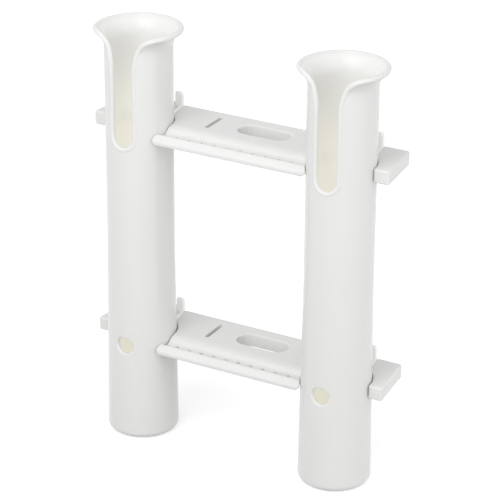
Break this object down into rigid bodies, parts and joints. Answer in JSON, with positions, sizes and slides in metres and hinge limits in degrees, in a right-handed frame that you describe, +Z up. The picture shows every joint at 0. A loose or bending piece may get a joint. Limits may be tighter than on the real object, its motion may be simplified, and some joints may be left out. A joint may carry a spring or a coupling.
{
  "type": "wall-mounted fishing rod rack",
  "caption": "White moulded fishing rod rack: flared tubes with reel slots, hooked onto slotted tool rails that screw flat to a wall.",
  "frame": {"origin": "middle of the upper rail's back face, where it lies on the wall", "axes": "+Z up along the tubes, +Y into the wall, +X to the right as seen from the front"},
  "size_m": [0.2302, 0.0838, 0.3077],
  "materials": {
    "white_plastic": "satin-gloss moulded white plastic",
    "stainless_steel": "turned stainless steel"
  },
  "bodies": {
    "rails": {"upper_rail": "white_plastic", "lower_rail": "white_plastic", "upper_left_screw": "stainless_steel", "upper_right_screw": "stainless_steel", "lower_left_screw": "stainless_steel", "lower_right_screw": "stainless_steel"},
    "left_tube": {"left_tube": "white_plastic"},
    "right_tube": {"right_tube": "white_plastic"}
  },
  "joints": [
    {"name": "left_tube_lift", "type": "slide", "parent": "rails", "child": "left_tube", "axis": [0, 0, 1], "range_m": [0, 0.015]},
    {"name": "right_tube_lift", "type": "slide", "parent": "rails", "child": "right_tube", "axis": [0, 0, 1], "range_m": [0, 0.015]}
  ]
}
